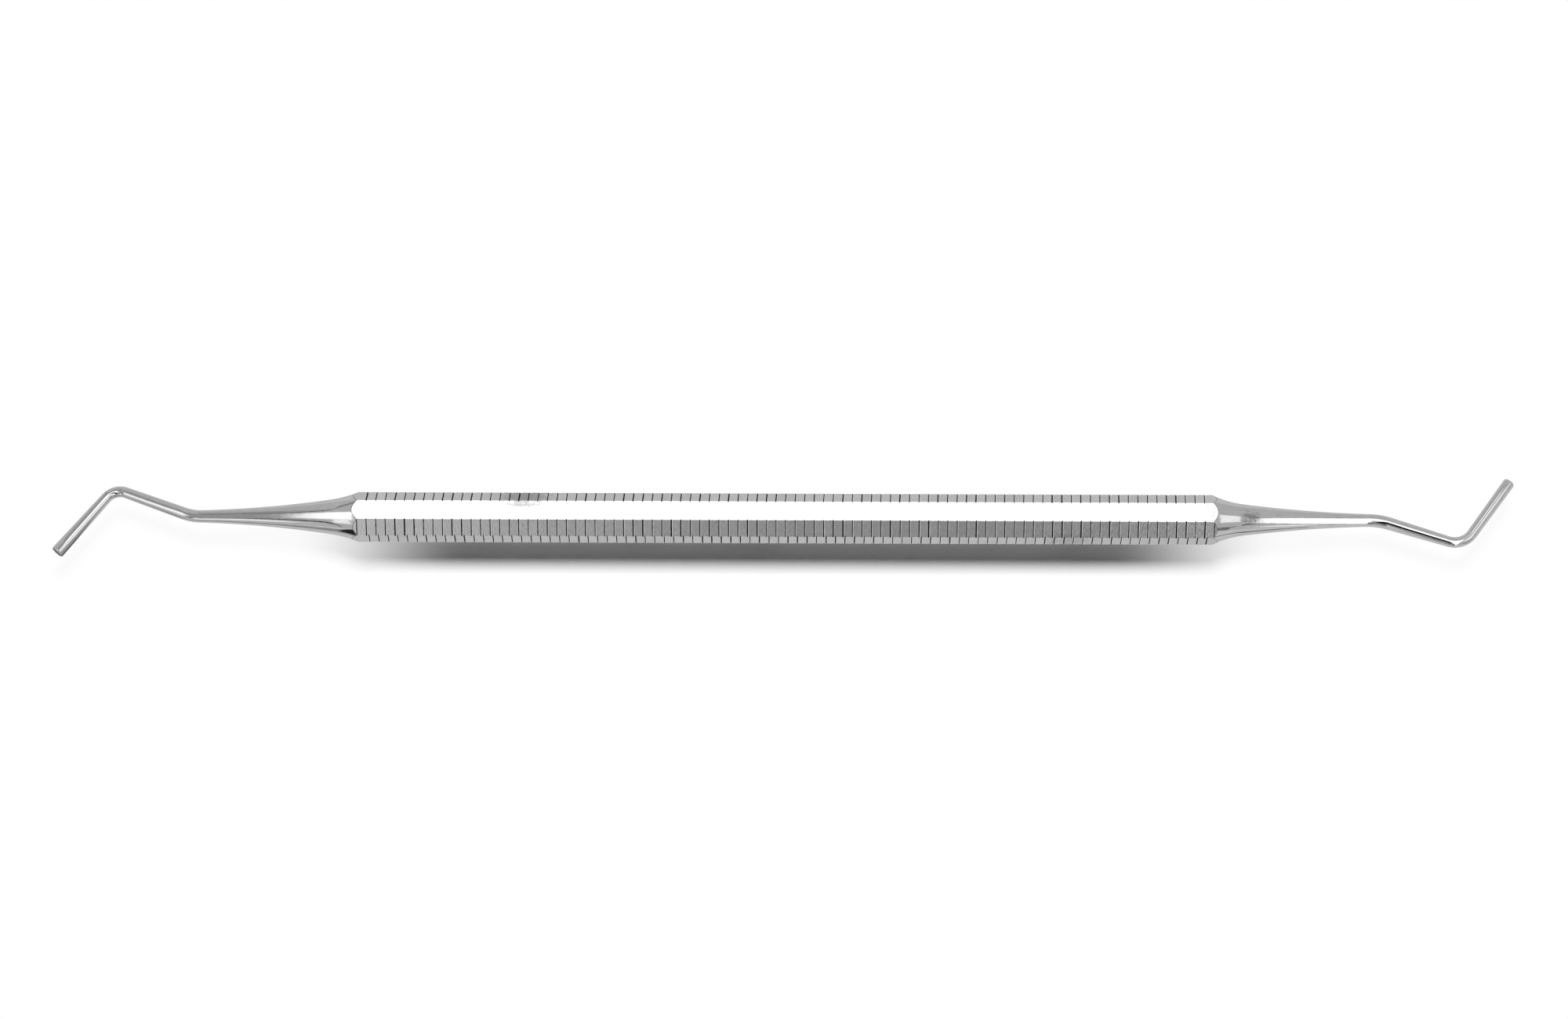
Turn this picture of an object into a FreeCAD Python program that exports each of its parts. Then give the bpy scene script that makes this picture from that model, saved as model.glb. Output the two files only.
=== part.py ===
import FreeCAD, Part
import Sketcher
import os
from math import pi

# Double-ended dental filling instrument, one piece of stainless steel, in millimetres.
# An eight-sided handle lies along X with one plain flat underneath. Each end is turned down
# to a round shank, bent twice in the horizontal plane, and ends in a short round condenser.
# Origin: middle of the flat that the handle rests on. Z is up.

handle_sizes = {
    "bar_across_flats": 5.5,
    "grooved_facet_width": 2.17,
    "handle_length": 102.4,         # between the points where the eight edges run out
    "turning_clearance": 0.3,
    "groove_pitch": 1.14,
    "groove_width": 0.16,
    "groove_depth": 0.13,
    "corner_row_shift": 0.05,       # grooves of the four slanted facets, along X from the middle
    "side_row_shift": 0.33,         # grooves of the two upright facets
    "groove_skew": 2.4,             # degrees, rear upper row only: its rear ends lean to +X
}

left_sizes = {
    "flare_nose_length": 3.6,       # short steep part of the flare, next to the handle
    "flare_nose_diameter": 4.1,
    "flare_radius": 133,
    "shank_reach": 71.2,            # handle's middle to the corner of the first bend
    "shank_diameter": 1.5,
    "first_turn": 20.3,
    "first_bend_radius": 6.4,
    "neck_length": 10.03,           # corner to corner
    "neck_diameter": 1.32,
    "second_turn": 71.2,
    "second_bend_radius": 2.15,
    "tip_length": 10.48,            # corner to end face
    "tip_diameter": 1.6,
    "tip_rim_bevel": 0.18,
}

right_sizes = {
    "flare_nose_length": 3.81,
    "flare_nose_diameter": 3.77,
    "flare_radius": 155,
    "shank_reach": 71.2,
    "shank_diameter": 1.54,
    "first_turn": 17.65,
    "first_bend_radius": 9,
    "neck_length": 10.55,
    "neck_diameter": 1.28,
    "second_turn": 72.05,
    "second_bend_radius": 2.6,
    "tip_length": 10.03,
    "tip_diameter": 1.42,
    "tip_rim_bevel": 0.2,
}

doc = FreeCAD.newDocument("filling_instrument")
sheet = doc.addObject("Spreadsheet::Sheet", "sizes")
values = dict(handle_sizes)
values.update({"left_" + name: size for name, size in left_sizes.items()})
values.update({"right_" + name: size for name, size in right_sizes.items()})
for row, (name, size) in enumerate(values.items(), start=1):
    sheet.set(f"A{row}", name)
    sheet.set(f"B{row}", str(size))
    sheet.setAlias(f"B{row}", name)
doc.recompute()

body = doc.addObject("PartDesign::Body", "filling_instrument")
body.Label = "filling_instrument"
body.setExpression("Placement.Base.z", "sizes.bar_across_flats / 2")

# Places in a sketch: its horizontal axis, which starts at the origin, and its vertical axis.
ORIGIN = -1
UPRIGHT = -2
START = 1
END = 2


def number(text):
    return float(body.evalExpression(text))


def origin_feature(role):
    return next(item for item in body.Origin.OriginFeatures if item.Role == role)


def new_sketch(name, role, place=None):
    sketch = body.newObject("Sketcher::SketchObject", name)
    sketch.AttachmentSupport = [(origin_feature(role), "")]
    sketch.MapMode = "FlatFace"
    if place:
        sketch.setExpression("AttachmentOffset", place)
    return sketch


def size(sketch, kind, *where, by):
    # A dimension of a sketch, bound to an expression on the sheet.
    index = sketch.addConstraint(Sketcher.Constraint(kind, *where, number(by)))
    sketch.setExpression(f"Constraints[{index}]", by)


def pin(sketch, line, point, x, y):
    # Puts a point of the outline at x and y from the sketch's origin.
    size(sketch, "DistanceX", ORIGIN, START, line, point, by=x)
    size(sketch, "DistanceY", ORIGIN, START, line, point, by=y)


def closed_lines(sketch, corners):
    spots = [FreeCAD.Vector(number(x), number(y), 0) for x, y in corners]
    for here, there in zip(spots, spots[1:] + spots[:1]):
        sketch.addGeometry(Part.LineSegment(here, there))
    last = len(corners) - 1
    for line in range(len(corners)):
        before = line - 1 if line else last
        sketch.addConstraint(Sketcher.Constraint("Coincident", before, END, line, START))


def pinned_outline(sketch, corners):
    closed_lines(sketch, corners)
    for line, (x, y) in enumerate(corners):
        pin(sketch, line, START, x, y)


def feature(kind, name, sketch, **settings):
    made = body.newObject("PartDesign::" + kind, name)
    made.Profile = (sketch, [""])
    for setting, value in settings.items():
        setattr(made, setting, value)
    return made


def built(made, removes=False):
    # Recomputes and makes sure that the feature added or removed material.
    before = 0 if body.Shape.isNull() else body.Shape.Volume
    doc.recompute()
    change = made.Shape.Volume - before
    if (change >= 0) if removes else (change <= 0):
        raise RuntimeError(made.Name + " changes nothing")
    return made


# Half sizes of the eight-sided section, seen along the handle.
half_flat = "(sizes.bar_across_flats / 2)"
half_plain = "((sizes.bar_across_flats - sqrt(2) * sizes.grooved_facet_width) / 2)"
corner_radius = f"sqrt({half_flat} ^ 2 + {half_plain} ^ 2)"
turned_radius = f"({corner_radius} + sizes.turning_clearance)"


class InstrumentEnd:
    # Places and lengths along one end, in the plane of the bends, as expressions on the sheet.
    # Headings are degrees from +X: the left end leaves the handle at 180.

    def __init__(self, name, heading):
        self.name = name
        self.side = -1 if heading else 1
        self.heading = f"({heading})"
        self.neck_heading = f"({heading} - {self.of('first_turn')})"
        self.tip_heading = f"({self.neck_heading} + {self.of('second_turn')})"
        self.first_setback = self.setback("first")
        self.second_setback = self.setback("second")
        self.shank_end = f"({self.of('shank_reach')} - {self.first_setback})"
        self.neck_end = f"({self.of('neck_length')} - {self.second_setback})"
        self.first_corner = (f"({self.side} * {self.of('shank_reach')})", "0")
        self.second_corner = along(self.first_corner, self.neck_heading, self.of("neck_length"))

    def of(self, size_name):
        return f"sizes.{self.name}_{size_name}"

    def setback(self, bend):
        # Length from a bend's corner to where its arc starts.
        return f"({self.of(bend + '_bend_radius')} * tan({self.of(bend + '_turn')} / 2))"


def along(start, heading, length):
    return (f"({start[0]} + {length} * cos({heading}))", f"({start[1]} + {length} * sin({heading}))")


def flat_place(spot, heading):
    # Lays a sketch in the plane of the bends, its X axis along the heading.
    return f"placement(vector({spot[0]}; {spot[1]}; 0); rotation(vector(0; 0; 1); {heading}))"


def cross_place(spot, heading):
    # Stands a sketch across the heading, its Y axis upright.
    return f"placement(vector({spot[1]}; 0; {spot[0]}); rotation(vector(0; 1; 0); {heading}))"


def make_bar(left, right):
    sketch = new_sketch("bar_section", "YZ_Plane")
    flat, plain = half_flat, half_plain
    corners = [(plain, flat), ("-" + plain, flat), ("-" + flat, plain), ("-" + flat, "-" + plain),
               ("-" + plain, "-" + flat), (plain, "-" + flat), (flat, "-" + plain), (flat, plain)]
    closed_lines(sketch, corners)
    top, side, opposite = 0, 6, 4
    sketch.addConstraint(Sketcher.Constraint("Symmetric", top, START, top, END, UPRIGHT))
    sketch.addConstraint(Sketcher.Constraint("Symmetric", side, START, side, END, ORIGIN))
    for line in range(opposite):
        sketch.addConstraint(
            Sketcher.Constraint("Symmetric", line, START, line + opposite, START, ORIGIN, START))
    size(sketch, "DistanceY", ORIGIN, START, top, START, by=half_flat)
    size(sketch, "DistanceX", ORIGIN, START, side, START, by=half_flat)
    size(sketch, "DistanceX", ORIGIN, START, top, START, by=half_plain)
    size(sketch, "DistanceY", ORIGIN, START, side, END, by=half_plain)
    bar = feature("Pad", "bar", sketch, SideType="Two sides")
    bar.setExpression("Length", right.shank_end)
    bar.setExpression("Length2", left.shank_end)
    built(bar)


def turn_flare(end):
    # Two tangent arcs, revolved: a steep nose that runs out of the eight facets in scallops,
    # and a long slender flank down to the shank.
    sketch = new_sketch(end.name + "_flare_outline", "XY_Plane", flat_place(("0", "0"), end.heading))
    nose_foot = (f"(sizes.handle_length / 2 + {end.of('flare_nose_length')})",
                 f"({end.of('flare_nose_diameter')} / 2)")
    shank = (end.shank_end, f"({end.of('shank_diameter')} / 2)")
    edge_end = ("(sizes.handle_length / 2)", corner_radius)
    joint, low, high = [FreeCAD.Vector(number(x), number(y), 0) for x, y in (nose_foot, shank, edge_end)]
    flank_radius = number(end.of("flare_radius"))
    chord = low - joint
    upright = FreeCAD.Vector(-chord.y, chord.x, 0).normalize()
    flank_centre = (joint + low) / 2 + upright * (flank_radius ** 2 - (chord.Length / 2) ** 2) ** 0.5
    inward = (flank_centre - joint).normalize()
    span = high - joint
    nose_radius = span.Length ** 2 / (2 * span.dot(inward))
    nose_centre = joint + inward * nose_radius
    outer = number(turned_radius)
    reach = (nose_radius ** 2 - (nose_centre.y - outer) ** 2) ** 0.5
    start = FreeCAD.Vector(nose_centre.x - reach, outer, 0)
    outside = FreeCAD.Vector(low.x, outer, 0)
    nose, flank, face, rim, mark = 0, 1, 2, 3, 4
    sketch.addGeometry(arc_between(nose_centre, nose_radius, start, joint))
    sketch.addGeometry(arc_between(flank_centre, flank_radius, joint, low))
    sketch.addGeometry(Part.LineSegment(low, outside))
    sketch.addGeometry(Part.LineSegment(outside, start))
    sketch.addGeometry(Part.Point(high), True)
    for constraint in (("Tangent", nose, END, flank, START), ("Coincident", flank, END, face, START),
                       ("Coincident", face, END, rim, START), ("Coincident", rim, END, nose, START),
                       ("Vertical", face), ("Horizontal", rim), ("PointOnObject", mark, START, nose)):
        sketch.addConstraint(Sketcher.Constraint(*constraint))
    pin(sketch, nose, END, *nose_foot)
    pin(sketch, flank, END, *shank)
    pin(sketch, mark, START, *edge_end)
    size(sketch, "Radius", flank, by=end.of("flare_radius"))
    size(sketch, "DistanceY", ORIGIN, START, rim, START, by=turned_radius)
    built(feature("Groove", end.name + "_flare", sketch, ReferenceAxis=(sketch, ["H_Axis"]), Angle=360),
          removes=True)


def arc_between(centre, radius, first, second):
    angles = [FreeCAD.Vector(1, 0, 0).getAngle(spot - centre) for spot in (first, second)]
    below = [2 * pi - angle for angle in angles]    # both spots lie below the centre
    return Part.ArcOfCircle(Part.Circle(centre, FreeCAD.Vector(0, 0, 1), radius), *below)


def bend(end, which, corner, heading, diameter, turns_right):
    # A round rod bent about an upright axis: its section is swung through the turn.
    setback = end.setback(which)
    radius = end.of(which + "_bend_radius")
    start = along(corner, heading, f"(-{setback})")
    towards_centre = f"({heading} - 90)" if turns_right else f"({heading} + 90)"
    centre = along(start, towards_centre, radius)
    sketch = new_sketch(f"{end.name}_{which}_bend_section", "YZ_Plane", cross_place(centre, heading))
    offset = radius if turns_right else f"(-{radius})"
    middle = FreeCAD.Vector(number(offset), 0, 0)
    sketch.addGeometry(Part.Circle(middle, FreeCAD.Vector(0, 0, 1), number(diameter) / 2))
    centre_point = 3
    sketch.addConstraint(Sketcher.Constraint("PointOnObject", 0, centre_point, ORIGIN))
    size(sketch, "DistanceX", ORIGIN, START, 0, centre_point, by=offset)
    size(sketch, "Diameter", 0, by=diameter)
    made = feature("Revolution", f"{end.name}_{which}_bend", sketch,
                   ReferenceAxis=(sketch, ["V_Axis"]), Reversed=turns_right)
    made.setExpression("Angle", end.of(which + "_turn"))
    built(made)


def turn_neck(end):
    sketch = new_sketch(end.name + "_neck_outline", "XY_Plane",
                        flat_place(end.first_corner, end.neck_heading))
    pinned_outline(sketch, [(end.first_setback, "0"), (end.neck_end, "0"),
                            (end.neck_end, f"({end.of('neck_diameter')} / 2)"),
                            (end.first_setback, f"({end.of('shank_diameter')} / 2)")])
    built(feature("Revolution", end.name + "_neck", sketch,
                  ReferenceAxis=(sketch, ["H_Axis"]), Angle=360))


def turn_tip(end):
    # The condenser: it widens a little towards its flat end, whose rim is bevelled.
    sketch = new_sketch(end.name + "_tip_outline", "XY_Plane",
                        flat_place(end.second_corner, end.tip_heading))
    tip_end, tip_radius = end.of("tip_length"), f"({end.of('tip_diameter')} / 2)"
    pinned_outline(sketch, [(end.second_setback, "0"), (tip_end, "0"), (tip_end, tip_radius),
                            (end.second_setback, f"({end.of('neck_diameter')} / 2)")])
    tip = built(feature("Revolution", end.name + "_tip", sketch,
                        ReferenceAxis=(sketch, ["H_Axis"]), Angle=360))
    rim = body.newObject("PartDesign::Chamfer", end.name + "_tip_rim")
    rim.Base = (tip, [end_circle(tip.Shape, along(end.second_corner, end.tip_heading, tip_end))])
    rim.setExpression("Size", end.of("tip_rim_bevel"))
    built(rim, removes=True)


def end_circle(shape, spot):
    # Name of the round edge whose centre is at the spot.
    centre = FreeCAD.Vector(number(spot[0]), number(spot[1]), 0)
    for index, edge in enumerate(shape.Edges, start=1):
        if hasattr(edge.Curve, "Center") and edge.Curve.Center.distanceToPoint(centre) < edge.Curve.Radius / 10:
            return f"Edge{index}"
    raise RuntimeError("no end face here")


# Grooves on each side of the middle one, so that a row fills the handle from end to end.
grooves_each_side = "round(sizes.handle_length / (2 * sizes.groove_pitch))"


def cut_grooves(name, facet_turn, shift, skew="0"):
    # A row of V grooves across one facet, which faces facet_turn degrees from upright, about X.
    # The sketch stands at the first groove, in the plane of the handle's axis and the facet's normal.
    first = f"({shift} - sizes.groove_pitch * {grooves_each_side})"
    sketch = new_sketch(name + "_outline", "XZ_Plane",
                        f"placement(vector({first}; 0; 0); rotation(vector(1; 0; 0); {facet_turn})"
                        f" * rotation(vector(0; 1; 0); {skew}))")
    facet = half_flat if facet_turn % 90 == 0 else f"(({half_plain} + {half_flat}) / sqrt(2))"
    # The slopes run on above the facet, so that the groove opens clear of it.
    mouth = f"({facet} + sizes.groove_depth)"
    pinned_outline(sketch, [("0", f"({facet} - sizes.groove_depth)"),
                            ("sizes.groove_width", mouth), ("-sizes.groove_width", mouth)])
    groove = feature("Pocket", name, sketch, SideType="Symmetric", Refine=False)
    groove.setExpression("Length", "sizes.bar_across_flats")
    built(groove, removes=True)
    row = body.newObject("PartDesign::LinearPattern", name + "_row")
    row.Originals = [groove]
    row.Direction = (origin_feature("X_Axis"), [""])
    row.Mode = "Spacing"
    row.Refine = False
    row.setExpression("Offset", "sizes.groove_pitch")
    row.setExpression("Occurrences", f"2 * {grooves_each_side} + 1")
    body.Tip = row
    built(row, removes=True)


left_end = InstrumentEnd("left", 180)
right_end = InstrumentEnd("right", 0)
make_bar(left_end, right_end)
for end in (left_end, right_end):
    turn_flare(end)
    bend(end, "first", end.first_corner, end.heading, end.of("shank_diameter"), turns_right=True)
    turn_neck(end)
    bend(end, "second", end.second_corner, end.neck_heading, end.of("neck_diameter"), turns_right=False)
    turn_tip(end)

# The upper and lower flats stay plain. Facets are named as seen from the front.
cut_grooves("rear_upper_groove", -45, "sizes.corner_row_shift", "(-sizes.groove_skew)")
cut_grooves("front_upper_groove", 45, "sizes.corner_row_shift")
cut_grooves("front_groove", 90, "sizes.side_row_shift")
cut_grooves("front_lower_groove", 135, "sizes.corner_row_shift")
cut_grooves("rear_lower_groove", -135, "sizes.corner_row_shift")
cut_grooves("rear_groove", -90, "sizes.side_row_shift")

doc.recompute()
for item in doc.Objects:
    if "Invalid" in item.State or "Error" in item.State:
        raise RuntimeError(item.Name + " failed: " + str(item.State))
if body.Shape.isNull() or not body.Shape.isValid() or len(body.Shape.Solids) != 1:
    raise RuntimeError("the instrument is not one sound solid")

os.makedirs("parts", exist_ok=True)
body.Shape.exportStep("parts/" + body.Label + ".step")
print("volume", round(body.Shape.Volume, 2), "faces", len(body.Shape.Faces), body.Shape.BoundBox)
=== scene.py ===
from math import atan2, cos, pi, radians, sin, sqrt, tan
from random import Random

import bmesh
import bpy
from mathutils import Matrix, Quaternion, Vector


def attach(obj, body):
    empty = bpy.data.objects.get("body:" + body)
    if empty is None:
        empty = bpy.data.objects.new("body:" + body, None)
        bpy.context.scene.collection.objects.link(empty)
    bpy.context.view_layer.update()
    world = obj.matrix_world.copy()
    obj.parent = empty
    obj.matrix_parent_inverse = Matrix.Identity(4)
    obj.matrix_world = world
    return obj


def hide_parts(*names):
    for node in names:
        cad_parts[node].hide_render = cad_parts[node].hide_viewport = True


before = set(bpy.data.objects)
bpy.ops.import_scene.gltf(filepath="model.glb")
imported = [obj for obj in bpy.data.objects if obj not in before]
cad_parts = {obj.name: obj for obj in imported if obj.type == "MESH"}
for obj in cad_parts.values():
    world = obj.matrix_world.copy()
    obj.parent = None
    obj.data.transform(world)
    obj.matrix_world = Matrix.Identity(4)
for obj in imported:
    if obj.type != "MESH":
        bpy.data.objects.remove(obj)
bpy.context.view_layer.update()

# The instrument is drawn in millimetres, as a straight turned blank along X, and bent last.
millimetre = 0.001

handle = {
    "acrossFlats": 5.5,
    "groovedFacetWidth": 2.17,
    "length": 102.4,            # between the points where the eight edges run out
    "turningClearance": 0.3,
    "edgeRounding": 0.05,       # radius of the long edges
    "frontEdgeRounding": 0.12,  # of the one between the upper and the front upper facet
    "edgeStrips": 3,
    "burr": 0.02,               # depth of the dull line round the ends of the facets
    "toneSeed": 9,              # draws the small differences in tone between faces
}

grooves = {
    "pitch": 1.14,
    "eachSide": 44,             # grooves on each side of the middle one
    "eachSideFront": 45,        # on the front upper facet
    "thinWidth": 0.12,
    "thickWidth": 0.17,
    "thickShare": 0.3,
    "depth": 0.1,
    "lip": 0.045,               # slope that the tool leaves on the +X side; its lighter colour is a painted highlight
    "lipDrop": 0.03,
    "widthSpread": 0.1,         # how much a groove's width is off, as a share, either way
    "wander": 0.015,            # how far a groove is off its place, either way
    "cornerShift": 0.05,        # slanted facets
    "sideShift": 0.33,          # upright facets
    "skew": 2.4,                # degrees, rear upper row only
}

leftEnd = {
    "noseLength": 3.6,
    "noseDiameter": 4.1,
    "flareRadius": 133,
    "shankReach": 71.2,         # handle's middle to the corner of the first bend
    "shankDiameter": 1.5,
    "firstTurn": 20.3,
    "firstRadius": 6.4,
    "neckLength": 10.03,
    "neckDiameter": 1.32,
    "secondTurn": 71.2,
    "secondRadius": 2.15,
    "tipLength": 10.48,
    "tipDiameter": 1.6,
    "rimRounding": 0.22,
}

rightEnd = {
    "noseLength": 3.81,
    "noseDiameter": 3.77,
    "flareRadius": 155,
    "shankReach": 71.2,
    "shankDiameter": 1.54,
    "firstTurn": 17.65,
    "firstRadius": 9,
    "neckLength": 10.55,
    "neckDiameter": 1.28,
    "secondTurn": 72.05,
    "secondRadius": 2.6,
    "tipLength": 10.03,
    "tipDiameter": 1.42,
    "rimRounding": 0.28,
}

turning = {
    "sides": 96,
    "ringsInFlank": 48,
    "ringsInNose": 16,
    "ringsInFirstBend": 16,
    "ringsInNeck": 4,
    "ringsInSecondBend": 36,
    "ringsInTip": 4,
    "ringsInRim": 6,
}

# Material slots of the piece.
polished, ground, grooved, lipped, edged, burred = range(6)

# The facets are numbered from the upper one round towards the front: 0 to 7.
plainFacets = (0, 4)
frontUpperFacet = 1
uprightFacets = (2, 6)
rearUpperFacet = 7

# Marks on the blank's faces while it is worked. A facet has firstFacetMark and its number, and the
# rounded edge that follows it has firstEdgeMark and its number.
turnedMark, firstFacetMark, firstEdgeMark, grooveMark, lipMark, burrMark = 0, 1, 10, 30, 40, 50

# Tolerances, in millimetres.
weldDistance = 0.00001
cutTolerance = 0.000001
planeTolerance = 0.0001


def lineTo(bm, vert, spot):
    # Draws the outline on from a vertex in a straight line.
    end = bmesh.ops.extrude_vert_indiv(bm, verts=[vert])["verts"][0]
    end.co = (spot[0], spot[1], 0)
    return end


def arcAbout(bm, vert, centre, angle, steps):
    # Draws the outline on in an arc: the vertex is spun about the centre.
    spun = bmesh.ops.spin(bm, geom=[vert], cent=(centre[0], centre[1], 0), axis=(0, 0, 1),
                          angle=angle, steps=steps, use_merge=False, use_duplicate=False)
    return [item for item in spun["geom_last"] if isinstance(item, bmesh.types.BMVert)][0]


def runTo(bm, vert, spot, steps):
    # Straight, in several steps, where the blank is bent later.
    start = vert.co.xy
    for step in range(1, steps + 1):
        vert = lineTo(bm, vert, start.lerp(Vector(spot), step / steps))
    return vert


def sweep(centre, start, end):
    # Signed angle at the centre from one spot to the other.
    first, second = start - centre, end - centre
    turn = atan2(second.y, second.x) - atan2(first.y, first.x)
    return (turn + pi) % (2 * pi) - pi


def routeLengths(end):
    # Lengths along the axis, from the handle's middle, where each run and bend ends.
    firstTurn, secondTurn = radians(end["firstTurn"]), radians(end["secondTurn"])
    firstSetback = end["firstRadius"] * tan(firstTurn / 2)
    secondSetback = end["secondRadius"] * tan(secondTurn / 2)
    shank = end["shankReach"] - firstSetback
    firstBend = shank + end["firstRadius"] * firstTurn
    neck = firstBend + end["neckLength"] - firstSetback - secondSetback
    secondBend = neck + end["secondRadius"] * secondTurn
    return shank, firstBend, neck, secondBend, secondBend + end["tipLength"] - secondSetback


def turnedOutline(bm, end, cornerRadius):
    # Half outline of one end, from the handle's middle to the tip's centre.
    shank, firstBend, neck, secondBend, tip = routeLengths(end)
    outer = cornerRadius + handle["turningClearance"]
    edgeEnd = Vector((handle["length"] / 2, cornerRadius))
    noseFoot = Vector((handle["length"] / 2 + end["noseLength"], end["noseDiameter"] / 2))
    shankStart = Vector((shank, end["shankDiameter"] / 2))
    chord = shankStart - noseFoot
    upright = Vector((-chord.y, chord.x)).normalized()
    rise = sqrt(end["flareRadius"] ** 2 - chord.length_squared / 4)
    flankCentre = (noseFoot + shankStart) / 2 + upright * rise
    inward = (flankCentre - noseFoot).normalized()
    span = edgeEnd - noseFoot
    noseRadius = span.length_squared / (2 * span.dot(inward))
    noseCentre = noseFoot + inward * noseRadius
    noseStart = Vector((noseCentre.x - sqrt(noseRadius ** 2 - (noseCentre.y - outer) ** 2), outer))

    vert = bm.verts.new((0, outer, 0))
    drawn = len(bm.verts) - 1
    vert = lineTo(bm, vert, noseStart)
    noseSweep = sweep(noseCentre, noseStart, noseFoot)
    flankSweep = sweep(flankCentre, noseFoot, shankStart)
    vert = arcAbout(bm, vert, noseCentre, noseSweep, turning["ringsInNose"])
    vert = arcAbout(bm, vert, flankCentre, flankSweep, turning["ringsInFlank"])
    vert = runTo(bm, vert, (firstBend, end["shankDiameter"] / 2), turning["ringsInFirstBend"])
    vert = runTo(bm, vert, (neck, end["neckDiameter"] / 2), turning["ringsInNeck"])
    vert = runTo(bm, vert, (secondBend, end["neckDiameter"] / 2), turning["ringsInSecondBend"])
    rim, tipRadius = end["rimRounding"], end["tipDiameter"] / 2
    vert = runTo(bm, vert, (tip - rim, tipRadius), turning["ringsInTip"])
    vert = arcAbout(bm, vert, (tip - rim, tipRadius - rim), -pi / 2, turning["ringsInRim"])
    lineTo(bm, vert, (tip, 0))
    bm.verts.ensure_lookup_table()
    return bm.verts[drawn:]


def facetPlanes():
    # Normal and distance of the eight facets, and the radius to the edges between them.
    flat = handle["acrossFlats"] / 2
    plain = (handle["acrossFlats"] - sqrt(2) * handle["groovedFacetWidth"]) / 2
    planes = []
    for facet in range(8):
        angle = radians(45 * facet)
        normal = Vector((0, -sin(angle), cos(angle)))
        planes.append((normal, flat if facet % 2 == 0 else (flat + plain) / sqrt(2)))
    return planes, sqrt(flat ** 2 + plain ** 2)


def cutAway(bm, normal, distance, mark, layer):
    # Grinds everything off beyond a plane and closes the cut with one face.
    geom = bm.verts[:] + bm.edges[:] + bm.faces[:]
    cut = bmesh.ops.bisect_plane(bm, geom=geom, dist=weldDistance, plane_co=normal * distance,
                                 plane_no=normal, clear_outer=True)
    rim = [item for item in cut["geom_cut"] if isinstance(item, bmesh.types.BMEdge)]
    for face in bmesh.ops.edgeloop_fill(bm, edges=rim)["faces"]:
        face[layer] = mark


def edgePlane(first, second, share, rounding):
    # Plane that rounds the edge between two facets, at a share of the turn between them.
    (firstNormal, firstDistance), (secondNormal, secondDistance) = first, second
    across = firstNormal.cross(secondNormal)
    centre = (secondNormal.cross(across) * (firstDistance - rounding)
              + across.cross(firstNormal) * (secondDistance - rounding)) / across.length_squared
    normal = firstNormal.slerp(secondNormal, share)
    return normal, centre.dot(normal) + rounding


def outlineEnds(bm, layer, plane):
    # Parts off a thin line of the turned surface all round a facet, where the grinding ran out.
    normal, distance = plane
    level = distance - handle["burr"]
    geom = set()
    for face in bm.faces:
        if face[layer] == turnedMark and max(vert.co.dot(normal) for vert in face.verts) > level:
            geom.add(face)
            geom.update(face.edges, face.verts)
    cut = bmesh.ops.bisect_plane(bm, geom=list(geom), dist=cutTolerance, plane_co=normal * level,
                                 plane_no=normal)
    for item in cut["geom"]:
        if isinstance(item, bmesh.types.BMFace) and item.calc_center_median().dot(normal) > level:
            item[layer] = burrMark


def pressIn(vert, depth, plane, neighbours):
    # Moves a vertex to a depth under the facet. One on a neighbouring facet slides down that facet.
    normal, distance = plane
    missing = depth - (distance - vert.co.dot(normal))
    if missing <= 0:
        return
    for neighbour, reach in neighbours:
        if abs(vert.co.dot(neighbour) - reach) < planeTolerance:
            slide = Vector((1, 0, 0)).cross(neighbour)
            slide = slide if slide.dot(normal) < 0 else -slide
            vert.co += slide * (missing / -slide.dot(normal))
            return
    vert.co -= normal * missing


def pressGrooves(bm, layer, planes, facet):
    # One row of V grooves. Each groove has four cuts across the facet and its two rounded edges. Then
    # the second cut is pushed in to the groove's depth, and the third one a little, for the lip.
    plane = planes[facet]
    before, after = (facet - 1) % 8, (facet + 1) % 8
    neighbours = [planes[after], planes[before]]
    shift = grooves["sideShift"] if facet in uprightFacets else grooves["cornerShift"]
    eachSide = grooves["eachSideFront"] if facet == frontUpperFacet else grooves["eachSide"]
    skew = -grooves["skew"] if facet == rearUpperFacet else 0
    station = Quaternion(plane[0], radians(skew)) @ Vector((1, 0, 0))
    own = {firstFacetMark + facet, firstEdgeMark + facet, firstEdgeMark + before}
    right = [face for face in bm.faces if face[layer] in own]
    chance = Random(facet)
    for count in range(-eachSide, eachSide + 1):
        middle = shift + count * grooves["pitch"] + chance.uniform(-1, 1) * grooves["wander"]
        width = grooves["thickWidth"] if chance.random() < grooves["thickShare"] else grooves["thinWidth"]
        half = width * (1 + chance.uniform(-1, 1) * grooves["widthSpread"]) / 2
        presses = []
        for place, depth, mark in ((middle - half, 0, None),
                                   (middle, grooves["depth"], grooveMark),
                                   (middle + half, grooves["lipDrop"], grooveMark),
                                   (middle + half + grooves["lip"], 0, lipMark)):
            spot = Vector((place, 0, 0))
            geom = set(right)
            for face in right:
                geom.update(face.edges, face.verts)
            cut = bmesh.ops.bisect_plane(bm, geom=list(geom), dist=cutTolerance, plane_co=spot,
                                         plane_no=station)
            faces = [item for item in cut["geom"] if isinstance(item, bmesh.types.BMFace)]
            spots = [item for item in cut["geom_cut"] if isinstance(item, bmesh.types.BMVert)]
            left = [face for face in faces if (face.calc_center_median() - spot).dot(station) < 0]
            right = [face for face in faces if face not in left]
            if mark:
                for face in left:
                    face[layer] = mark
            if depth:
                presses += [(vert, depth) for vert in spots]
        for vert, depth in presses:
            pressIn(vert, depth, plane, neighbours)


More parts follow.
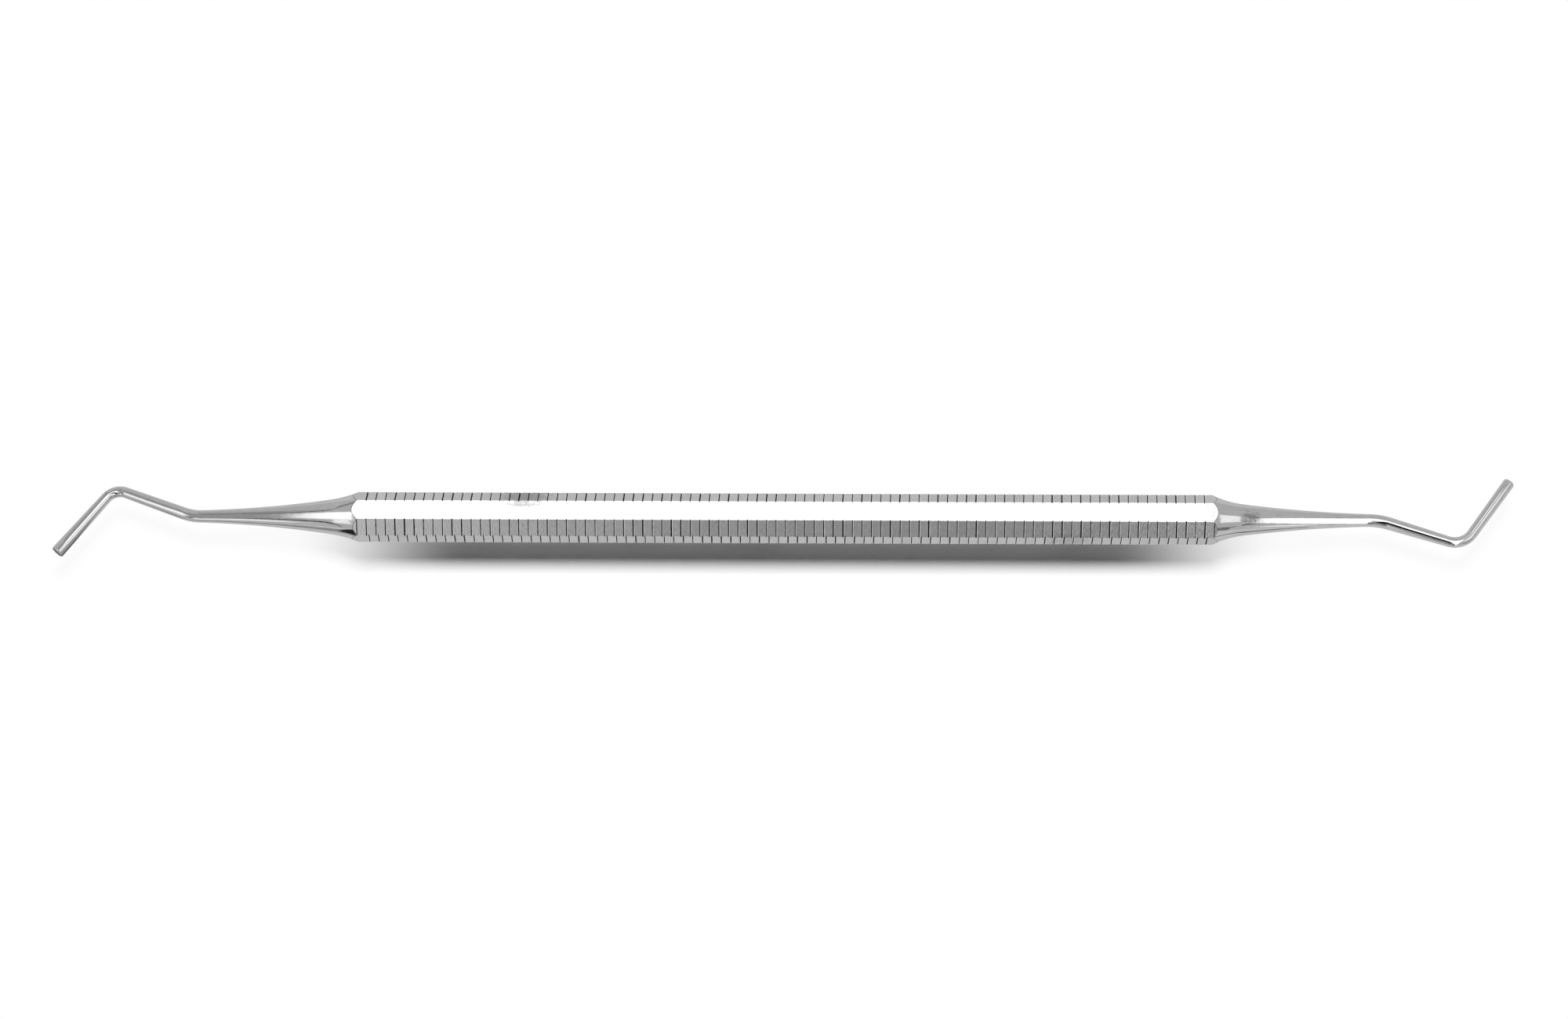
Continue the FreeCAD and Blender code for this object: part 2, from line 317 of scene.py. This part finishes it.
def onRoute(spot):
    # Where a spot of the straight blank goes when its end is bent.
    side = 1 if spot.x > 0 else -1
    end = rightEnd if side > 0 else leftEnd
    shank, firstBend, neck, secondBend, tip = routeLengths(end)
    length, sideways = spot.x * side, spot.y * side
    heading = 0 if side > 0 else pi
    place = Vector((0, 0))
    done = 0
    beyondTip = tip + 1
    for reach, turn, radius in ((shank, 0, 0),
                                (firstBend, -radians(end["firstTurn"]), end["firstRadius"]),
                                (neck, 0, 0),
                                (secondBend, radians(end["secondTurn"]), end["secondRadius"]),
                                (beyondTip, 0, 0)):
        part = min(length, reach) - done
        if part <= 0:
            break
        ahead = Vector((cos(heading), sin(heading)))
        if turn:
            swing = turn * part / (reach - done)
            inward = Vector((-ahead.y, ahead.x)) * (1 if turn > 0 else -1)
            centre = place + inward * radius
            place = centre + Matrix.Rotation(swing, 2) @ (place - centre)
            heading += swing
        else:
            place = place + ahead * part
        done = reach
    leftward = Vector((-sin(heading), cos(heading)))
    place = place + leftward * sideways
    return Vector((place.x, place.y, spot.z))


def makeInstrument(name):
    planes, cornerRadius = facetPlanes()
    bm = bmesh.new()
    turnedOutline(bm, rightEnd, cornerRadius)
    leftSide = turnedOutline(bm, leftEnd, cornerRadius)
    bmesh.ops.scale(bm, vec=(-1, 1, 1), verts=leftSide)
    bmesh.ops.remove_doubles(bm, verts=bm.verts, dist=weldDistance)
    bmesh.ops.spin(bm, geom=bm.verts[:] + bm.edges[:], cent=(0, 0, 0), axis=(1, 0, 0), angle=2 * pi,
                   steps=turning["sides"], use_merge=True, use_duplicate=False)
    bmesh.ops.remove_doubles(bm, verts=bm.verts, dist=weldDistance)
    bmesh.ops.recalc_face_normals(bm, faces=bm.faces)
    print("blank turned:", len(bm.faces), "faces")

    layer = bm.faces.layers.int.new("surface")
    for facet, (normal, distance) in enumerate(planes):
        cutAway(bm, normal, distance, firstFacetMark + facet, layer)
    for facet in range(8):
        rounding = handle["edgeRounding"] if facet else handle["frontEdgeRounding"]
        for strip in range(1, handle["edgeStrips"] + 1):
            share = strip / (handle["edgeStrips"] + 1)
            normal, distance = edgePlane(planes[facet], planes[(facet + 1) % 8], share, rounding)
            cutAway(bm, normal, distance, firstEdgeMark + facet, layer)
    for plane in planes:
        outlineEnds(bm, layer, plane)
    bmesh.ops.recalc_face_normals(bm, faces=bm.faces)
    print("facets ground:", len(bm.faces), "faces")

    for facet in range(8):
        if facet not in plainFacets:
            pressGrooves(bm, layer, planes, facet)
    print("grooves pressed:", len(bm.faces), "faces")

    tone = bm.faces.layers.float.new("tone")
    chance = Random(handle["toneSeed"])
    slots = {turnedMark: polished, grooveMark: grooved, lipMark: lipped, burrMark: burred}
    for facet in range(8):
        slots[firstFacetMark + facet] = polished if facet in plainFacets else ground
        slots[firstEdgeMark + facet] = edged
    for face in bm.faces:
        face.smooth = face[layer] in (turnedMark, burrMark)
        face[tone] = chance.uniform(-1, 1)
        face.material_index = slots[face[layer]]

    straight = bm.verts.layers.float_vector.new("straight")
    for vert in bm.verts:
        vert[straight] = vert.co
        vert.co = onRoute(vert.co)
    bmesh.ops.translate(bm, vec=(0, 0, handle["acrossFlats"] / 2), verts=bm.verts)
    bmesh.ops.scale(bm, vec=(millimetre,) * 3, verts=bm.verts)
    bm.faces.layers.int.remove(layer)
    mesh = bpy.data.meshes.new(name)
    bm.to_mesh(mesh)
    bm.free()
    piece = bpy.data.objects.new(name, mesh)
    bpy.context.collection.objects.link(piece)
    print("ends bent:", len(mesh.vertices), "vertices")
    return piece


steel = {
    "colour": 0.48,
    # The groove walls are coloured near black as painted shade in the grooves.
    "grooveShadeColour": 0.035,
    # The lips are coloured lighter than the steel as a painted highlight beside each groove.
    "lipHighlightColour": 0.75,
    "burrColour": 0.1,
    "grazingTint": 0.78,        # how bright the steel stays where it is seen along the surface
    "polishedRoughness": 0.07,
    "groundRoughness": 0.2,
    "grooveRoughness": 0.4,
    "lipRoughness": 0.25,
    "edgeRoughness": 0.12,
    "burrRoughness": 0.3,
    "relief": 0.00005,          # height of the fine marks, in metres
}

# Marks of the finish, as noise on the straight blank: how much finer it is along each axis.
polishMarks = (1.2, 2.5, 2.5)
groundMarks = (9, 2, 2)
broadMarks = (0.7, 1.2, 1.2)

# Darker patches that paint in reflections of the room, in millimetres on the straight blank: place, reach
# and tone.
paintedReflectionPatches = (
    ((-31.2, 1.9, 1.9), (3.6, 2.2, 2.2), 0.6),
    ((34, -2.75, 0), (3.4, 2, 2), 0.75),
    ((55.8, -0.3, 1.9), (1.3, 1, 1), 0.6),
)
reflectionPatchFray = 0.35  # how ragged their borders are, as a share of the reach
reflectionPatchCore = 0.45  # share of the reach that has the full tone


def addNode(tree, kind, **inputs):
    node = tree.nodes.new(kind)
    for name, value in inputs.items():
        socket = node.inputs[name.replace("_", " ")]
        if isinstance(value, bpy.types.NodeSocket):
            tree.links.new(value, socket)
        else:
            socket.default_value = value
    return node


def newMaterial(name):
    material = bpy.data.materials.new(name)
    material.use_nodes = True
    material.node_tree.nodes.clear()
    return material, material.node_tree


def grain(tree, stretch):
    # Noise on the straight blank's own millimetres, so that it follows the bends.
    place = tree.nodes.new("ShaderNodeAttribute")
    place.attribute_name = "straight"
    mapping = addNode(tree, "ShaderNodeMapping", Vector=place.outputs["Vector"], Scale=stretch)
    return addNode(tree, "ShaderNodeTexNoise", Vector=mapping.outputs["Vector"], Scale=1, Detail=3)


def ranged(tree, value, low, high, fromLow=0.3, fromHigh=0.7):
    # Stretches a value to low and high. Without limits of its own it is noise, which stays near 0.5.
    node = addNode(tree, "ShaderNodeMapRange", Value=value)
    for name, level in (("From Min", fromLow), ("From Max", fromHigh), ("To Min", low), ("To Max", high)):
        node.inputs[name].default_value = level
    return node.outputs["Result"]


def times(tree, first, second):
    node = addNode(tree, "ShaderNodeMath", Value=first)
    node.operation = "MULTIPLY"
    tree.links.new(second, node.inputs[1])
    return node.outputs["Value"]


def paintedReflectionTone(tree, place, reach, level, ragged):
    # Full tone outside the painted reflection patch, its own level inside, with a ragged border.
    spot = tree.nodes.new("ShaderNodeAttribute")
    spot.attribute_name = "straight"
    away = tree.nodes.new("ShaderNodeVectorMath")
    away.operation = "SUBTRACT"
    tree.links.new(spot.outputs["Vector"], away.inputs[0])
    away.inputs[1].default_value = place
    shares = tree.nodes.new("ShaderNodeVectorMath")
    shares.operation = "DIVIDE"
    tree.links.new(away.outputs["Vector"], shares.inputs[0])
    shares.inputs[1].default_value = reach
    length = tree.nodes.new("ShaderNodeVectorMath")
    length.operation = "LENGTH"
    tree.links.new(shares.outputs["Vector"], length.inputs[0])
    frayed = addNode(tree, "ShaderNodeMath", Value=length.outputs["Value"])
    frayed.operation = "ADD"
    tree.links.new(ranged(tree, ragged.outputs["Fac"], -reflectionPatchFray, reflectionPatchFray), frayed.inputs[1])
    return ranged(tree, frayed.outputs["Value"], level, 1, reflectionPatchCore, 1)


def steelSurface(name, colour, roughness, stretch, unevenness, bump, mottle, perFace):
    # Fine marks drive roughness, relief and a little of the tone. Broad marks, the painted reflection
    # patches and each face's own tone do the rest of the tone.
    material, tree = newMaterial(name)
    marks = grain(tree, stretch)
    broad = grain(tree, broadMarks)
    relief = addNode(tree, "ShaderNodeBump", Height=marks.outputs["Fac"], Strength=bump,
                     Distance=steel["relief"])
    face = tree.nodes.new("ShaderNodeAttribute")
    face.attribute_name = "tone"
    tone = ranged(tree, marks.outputs["Fac"], colour * (1 - mottle), colour * (1 + mottle))
    tone = times(tree, tone, ranged(tree, face.outputs["Fac"], 1 - perFace, 1 + perFace, -1, 1))
    tone = times(tree, tone, ranged(tree, broad.outputs["Fac"], 1 - mottle / 2, 1 + mottle / 2))
    # Darker patches painted into the tone stand in for reflections.
    for place, reach, level in paintedReflectionPatches:
        tone = times(tree, tone, paintedReflectionTone(tree, place, reach, level, marks))
    sheen = ranged(tree, marks.outputs["Fac"], roughness - unevenness, roughness + unevenness)
    shader = addNode(tree, "ShaderNodeBsdfPrincipled", Metallic=1, Base_Color=tone, Roughness=sheen,
                     Specular_Tint=(steel["grazingTint"],) * 3 + (1,), Normal=relief.outputs["Normal"])
    output = tree.nodes.new("ShaderNodeOutputMaterial")
    tree.links.new(shader.outputs["BSDF"], output.inputs["Surface"])
    return material


instrument = makeInstrument("filling_instrument_steel")
for surface in (
        steelSurface("polishedSteel", steel["colour"], steel["polishedRoughness"], polishMarks,
                     unevenness=0.03, bump=0.06, mottle=0.05, perFace=0),
        steelSurface("groundSteel", steel["colour"], steel["groundRoughness"], groundMarks,
                     unevenness=0.05, bump=0.2, mottle=0.07, perFace=0.05),
        # The groove walls' near-black colour is painted shade.
        steelSurface("grooveShadeSteel", steel["grooveShadeColour"], steel["grooveRoughness"], groundMarks,
                     unevenness=0.05, bump=0.3, mottle=0.3, perFace=0.6),
        # The lips' lighter colour is a painted highlight.
        steelSurface("lipHighlightSteel", steel["lipHighlightColour"], steel["lipRoughness"], groundMarks,
                     unevenness=0.05, bump=0.3, mottle=0.2, perFace=0.15),
        steelSurface("edgeSteel", steel["colour"], steel["edgeRoughness"], groundMarks,
                     unevenness=0.04, bump=0.2, mottle=0.08, perFace=0.05),
        steelSurface("burrSteel", steel["burrColour"], steel["burrRoughness"], groundMarks,
                     unevenness=0.05, bump=0.2, mottle=0.3, perFace=0)):
    instrument.data.materials.append(surface)
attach(instrument, "root")
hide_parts("filling_instrument")
print("steel finished")

studio = {
    "floorColour": 0.95,
    "floorHalfSize": 4,
    "floorGap": 0.00002,        # below the part, so that the two don't share a plane
    "floorLift": 0.02,          # what the camera sees on top of the lit floor, to reach white
    "shadowHalfLength": 0.038,  # from here on the floor fades to plain white
    "shadowFade": 0.022,
    "plainShare": 0.95,         # of plain white in the floor past that fade
    "sunElevation": 58,         # from behind
    "sunStrength": 3.9,
    "sunAngle": 26,
    "ambient": 0.03,
}
axisHeight = handle["acrossFlats"] / 2 * millimetre


def towards(fromX, sideways, around, distance):
    # A spot in the room as the steel at fromX mirrors it: sideways is the share of the way along X,
    # around the angle about the handle, from the front (0) over the top (90) to the rear.
    square = sqrt(1 - sideways ** 2) * distance
    angle = radians(around)
    return Vector((fromX + sideways * distance, -cos(angle) * square, axisHeight + sin(angle) * square))


def fadeIn(tree, value, share):
    # From 0 at 0 to 1 at the share, smoothly.
    rise = ranged(tree, value, 0, 1, 0, max(share, 0.001))
    rise.node.interpolation_type = "SMOOTHSTEP"
    return rise


def addPanel(name, level, place, columns, rows, fades):
    # A card or softbox that only reflections show. place gives the spot for u and v from -1 to 1.
    # fades are the shares over which it thins out: of its length at the start and at the end, and of
    # its width at both sides together.
    bm = bmesh.new()
    shares = bm.loops.layers.uv.new("UVMap")
    bmesh.ops.create_grid(bm, x_segments=columns, y_segments=rows, size=1)
    for face in bm.faces:
        for loop in face.loops:
            loop[shares].uv = (loop.vert.co.xy + Vector((1, 1))) / 2
    for vert in bm.verts:
        vert.co = place(vert.co.x, vert.co.y)
    mesh = bpy.data.meshes.new(name)
    bm.to_mesh(mesh)
    bm.free()
    panel = bpy.data.objects.new(name, mesh)
    bpy.context.collection.objects.link(panel)
    material, tree = newMaterial(name)
    glow = addNode(tree, "ShaderNodeEmission", Strength=level)
    clear = tree.nodes.new("ShaderNodeBsdfTransparent")
    spot = tree.nodes.new("ShaderNodeTexCoord")
    axes = addNode(tree, "ShaderNodeSeparateXYZ", Vector=spot.outputs["UV"])
    start, end, side = fades
    solid = times(tree, fadeIn(tree, axes.outputs["X"], start), fadeIn(tree, axes.outputs["Y"], side / 2))
    for axis, share in (("X", end), ("Y", side / 2)):
        rest = addNode(tree, "ShaderNodeMath", Value=1)
        rest.operation = "SUBTRACT"
        tree.links.new(axes.outputs[axis], rest.inputs[1])
        solid = times(tree, solid, fadeIn(tree, rest.outputs["Value"], share))
    mix = tree.nodes.new("ShaderNodeMixShader")
    tree.links.new(solid, mix.inputs["Fac"])
    tree.links.new(clear.outputs["BSDF"], mix.inputs[1])
    tree.links.new(glow.outputs["Emission"], mix.inputs[2])
    output = tree.nodes.new("ShaderNodeOutputMaterial")
    tree.links.new(mix.outputs["Shader"], output.inputs["Surface"])
    mesh.materials.append(material)
    material.cycles.emission_sampling = "NONE"
    panel.visible_camera = False
    panel.visible_diffuse = False
    panel.visible_shadow = False


def addFlat(name, level, centre, across, upward, fades=(0, 0, 0)):
    # across and upward are the half sides.
    def place(u, v):
        return Vector(centre) + Vector(across) * u + Vector(upward) * v

    addPanel(name, level, place, 1, 1, fades)


def addBand(name, level, fromX, distance, fades, *course):
    # A curved band about the instrument through the course's directions: sideways, around, and half
    # its width in degrees.
    legs = len(course) - 1

    def place(u, v):
        along = (u + 1) / 2 * legs
        leg = min(int(along), legs - 1)
        sideways, around, half = (
            first + (second - first) * (along - leg) for first, second in zip(course[leg], course[leg + 1]))
        return towards(fromX, sideways, around + half * v, distance)

    addPanel(name, level, place, 8 * legs, 16, fades)


def addFloor():
    bm = bmesh.new()
    bmesh.ops.create_grid(bm, x_segments=1, y_segments=1, size=studio["floorHalfSize"])
    bmesh.ops.translate(bm, vec=(0, 0, -studio["floorGap"]), verts=bm.verts)
    mesh = bpy.data.meshes.new("floor")
    bm.to_mesh(mesh)
    bm.free()
    floor = bpy.data.objects.new("floor", mesh)
    bpy.context.collection.objects.link(floor)
    material, tree = newMaterial("paleFloor")
    path = tree.nodes.new("ShaderNodeLightPath")
    level = studio["floorColour"]
    matt = addNode(tree, "ShaderNodeBsdfDiffuse", Color=(level, level, level, 1))
    lift = addNode(tree, "ShaderNodeMath", Value=path.outputs["Is Camera Ray"])
    lift.operation = "MULTIPLY"
    lift.inputs[1].default_value = studio["floorLift"]
    glow = addNode(tree, "ShaderNodeEmission", Strength=lift.outputs["Value"])
    lit = tree.nodes.new("ShaderNodeAddShader")
    tree.links.new(matt.outputs["BSDF"], lit.inputs[0])
    tree.links.new(glow.outputs["Emission"], lit.inputs[1])
    mirrored = addNode(tree, "ShaderNodeMath", Value=path.outputs["Is Glossy Ray"])
    mirrored.operation = "MAXIMUM"
    tree.links.new(path.outputs["Is Transmission Ray"], mirrored.inputs[1])
    # The shadow stays beside the handle: past its ends the camera sees plain white floor.
    spot = tree.nodes.new("ShaderNodeTexCoord")
    axes = addNode(tree, "ShaderNodeSeparateXYZ", Vector=spot.outputs["Object"])
    outward = addNode(tree, "ShaderNodeMath", Value=axes.outputs["X"])
    outward.operation = "ABSOLUTE"
    past = ranged(tree, outward.outputs["Value"], 0, studio["plainShare"], studio["shadowHalfLength"],
                  studio["shadowHalfLength"] + studio["shadowFade"])
    past.node.interpolation_type = "SMOOTHSTEP"
    plain = addNode(tree, "ShaderNodeMath", Value=mirrored.outputs["Value"])
    plain.operation = "MAXIMUM"
    tree.links.new(times(tree, past, path.outputs["Is Camera Ray"]), plain.inputs[1])
    white = addNode(tree, "ShaderNodeEmission", Strength=1)
    mix = tree.nodes.new("ShaderNodeMixShader")
    tree.links.new(plain.outputs["Value"], mix.inputs["Fac"])
    tree.links.new(lit.outputs["Shader"], mix.inputs[1])
    tree.links.new(white.outputs["Emission"], mix.inputs[2])
    output = tree.nodes.new("ShaderNodeOutputMaterial")
    tree.links.new(mix.outputs["Shader"], output.inputs["Surface"])
    mesh.materials.append(material)


def lightWorld():
    world = bpy.data.worlds.new("studio")
    bpy.context.scene.world = world
    world.use_nodes = True
    world.cycles.sampling_method = "NONE"
    tree = world.node_tree
    tree.nodes.clear()
    path = tree.nodes.new("ShaderNodeLightPath")
    seen = addNode(tree, "ShaderNodeMath", Value=path.outputs["Is Camera Ray"])
    seen.operation = "MAXIMUM"
    tree.links.new(path.outputs["Is Glossy Ray"], seen.inputs[1])
    through = addNode(tree, "ShaderNodeMath", Value=seen.outputs["Value"])
    through.operation = "MAXIMUM"
    tree.links.new(path.outputs["Is Transmission Ray"], through.inputs[1])
    ambient = addNode(tree, "ShaderNodeBackground", Strength=studio["ambient"])
    white = addNode(tree, "ShaderNodeBackground", Strength=1)
    mix = tree.nodes.new("ShaderNodeMixShader")
    tree.links.new(through.outputs["Value"], mix.inputs["Fac"])
    tree.links.new(ambient.outputs["Background"], mix.inputs[1])
    tree.links.new(white.outputs["Background"], mix.inputs[2])
    output = tree.nodes.new("ShaderNodeOutputWorld")
    tree.links.new(mix.outputs["Shader"], output.inputs["Surface"])


def addSun():
    lamp = bpy.data.lights.new("backLight", "SUN")
    lamp.energy = studio["sunStrength"]
    lamp.angle = radians(studio["sunAngle"])
    sun = bpy.data.objects.new("backLight", lamp)
    bpy.context.collection.objects.link(sun)
    elevation = radians(studio["sunElevation"])
    sun.rotation_euler = Vector((0, cos(elevation), sin(elevation))).to_track_quat("Z", "Y").to_euler()
    sun.visible_glossy = False


addFloor()
lightWorld()
addSun()

# What the steel mirrors besides the white room: softboxes, grey and dark cards, and dark sheets on the
# floor and by the noses that paint in the instrument's shadow as the steel mirrors it.
# Each has its name, brightness and place. The bands are drawn about the middle of a flare.
left, right = -0.062, 0.062
addFlat("topSoftbox", 2.4, (-0.005, 0.05, 0.9), (0.125, 0, 0), (0, 0.4, 0))
addBand("rightSoftbox", 2.3, right, 0.9, (0.02, 0.15, 0.2),
        (0.05, 68, 46), (0.15, 56, 54), (0.22, 62, 38), (0.27, 66, 25), (0.3, 67, 15))
addBand("rightFarSoftbox", 1.7, right, 0.9, (0.2, 0.1, 0.4),
        (0.36, 78, 25), (0.5, 78, 27), (0.75, 78, 32))
addBand("rightPatch", 1.8, right, 0.85, (0.3, 0.3, 0.5), (0.19, 5, 6), (0.27, 16, 8))
addBand("leftSoftbox", 2.1, left, 0.9, (0.25, 0.1, 0.35),
        (-0.25, 80, 20), (-0.34, 79, 28), (-0.5, 79, 27), (-0.7, 75, 30))
addBand("leftFrontSoftbox", 1.7, left, 0.88, (0.3, 0.1, 0.4), (-0.37, 44, 14), (-0.64, 44, 20))
addBand("leftPatch", 1.7, left, 0.85, (0.2, 0.3, 0.5), (-0.1, 17, 9), (-0.2, 24, 12), (-0.3, 20, 10))
addBand("leftCeiling", 0.55, left, 0.8, (0.02, 0.35, 0.15), (-0.085, 95, 54), (-0.33, 90, 40))
addBand("rightGrey", 0.6, right, 0.75, (0.3, 0.3, 0.3), (0.285, 80, 38), (0.345, 80, 38))
addBand("rightFarCard", 0.3, right, 0.75, (0.1, 0.1, 0.4), (0.5, 13, 12), (0.9, 13, 12))
addBand("leftDarkBar", 0.02, left, 0.7, (0.25, 0.1, 0.25),
        (-0.13, 50, 2), (-0.2, 48, 3), (-0.25, 45, 4), (-0.3, 39, 5.5), (-0.335, 30, 5), (-0.4, 24, 4),
        (-0.45, 13, 4), (-0.48, 3, 3))
addBand("shankBar", 0.3, left, 0.7, (0.2, 0.1, 0.4), (-0.14, 47, 4), (-0.05, 42, 6))
addBand("leftEdgeLine", 0.02, left, 0.7, (0.25, 0.4, 0.2),
        (-0.08, 94, 2.5), (-0.15, 103, 2.2), (-0.2, 109, 2.2), (-0.26, 109.5, 2.4), (-0.3, 113, 2.6),
        (-0.335, 120, 3.5), (-0.44, 129, 3), (-0.52, 138, 3))
addBand("rightDarkBar", 0.05, right, 0.7, (0.15, 0.3, 0.3), (0.345, 28, 6), (0.31, 36, 6), (0.27, 39, 3))
addBand("rightDarkTail", 0.2, right, 0.7, (0.3, 0.1, 0.4), (0.4, 27, 3), (0.5, 20, 3), (0.57, 4, 3))
addBand("cameraStand", 0.02, 0, 0.6, (0.1, 0.1, 0.1), (-0.075, 62, 30), (0.11, 62, 30))
addBand("leftFarCard", 0.4, left, 0.75, (0.2, 0.1, 0.4), (-0.38, 132, 6), (-0.6, 162, 14))
addFlat("frontCard", 0.5, (0.036, -0.42, 0.16), (0.084, 0, 0), (0, 0, 0.15), (0.12, 0.03, 0))
addFlat("frontCardMiddle", 0.38, (-0.022, -0.41, 0.16), (0.024, 0, 0), (0, 0, 0.15), (0.3, 0.4, 0))
addFlat("frontCardRight", 0.33, (0.084, -0.41, 0.16), (0.036, 0, 0), (0, 0, 0.15), (0.5, 0.05, 0))
# Painted shadow: small dark cards by the floor in front of each nose stand in for the shadow that the
# flares mirror.
addFlat("leftNoseShadow", 0.03, (-0.0548, -0.0073, 0.003), (-0.0014, -0.0011, 0), (0, 0, 0.003))
addFlat("rightNoseShadow", 0.08, (0.0548, -0.0073, 0.003), (0.0014, -0.0011, 0), (0, 0, 0.003))
addFlat("neckCard", 0.6, (-0.094, 0.001, 0.03), (0.012, 0, 0), (0, 0.008, 0))
# Painted shadow: these grey sheets on the floor stand in for the instrument's shadow, which the steel would
# mirror there.
addFlat("leftMirroredShadow", 0.5, (-0.0625, -0.012, 0.00005), (0.0125, 0, 0), (0, 0.006, 0))
addFlat("neckMirroredShadow", 0.3, (-0.0875, -0.0075, 0.00005), (0.0125, 0, 0), (0, 0.0045, 0))
addFlat("rightMirroredShadow", 0.3, (0.06, -0.0075, 0.00005), (0.004, 0, 0), (0, 0.0015, 0))

view = {
    "distance": 0.75,
    "elevation": 71,
    "roll": 0.2,
    "lens": 143.5,
    "sensorWidth": 36,
    "nearest": 0.01,            # nothing closer than this is drawn
    "aimUp": 0.00107,           # from the handle's middle, across the picture
    "aimRight": -0.000165,
}


def addCamera():
    lens = bpy.data.cameras.new("camera")
    lens.lens = view["lens"]
    lens.sensor_width = view["sensorWidth"]
    lens.clip_start = view["nearest"]
    camera = bpy.data.objects.new("camera", lens)
    bpy.context.collection.objects.link(camera)
    elevation = radians(view["elevation"])
    back = Vector((0, -cos(elevation), sin(elevation)))
    up = Vector((0, sin(elevation), cos(elevation)))
    target = Vector((view["aimRight"], 0, axisHeight)) + up * view["aimUp"]
    camera.location = target + back * view["distance"]
    level = back.to_track_quat("Z", "Y")
    camera.rotation_euler = (level @ Quaternion((0, 0, 1), radians(view["roll"]))).to_euler()
    bpy.context.scene.camera = camera


addCamera()
scene = bpy.context.scene
scene.view_settings.view_transform = "Standard"
print("studio ready")
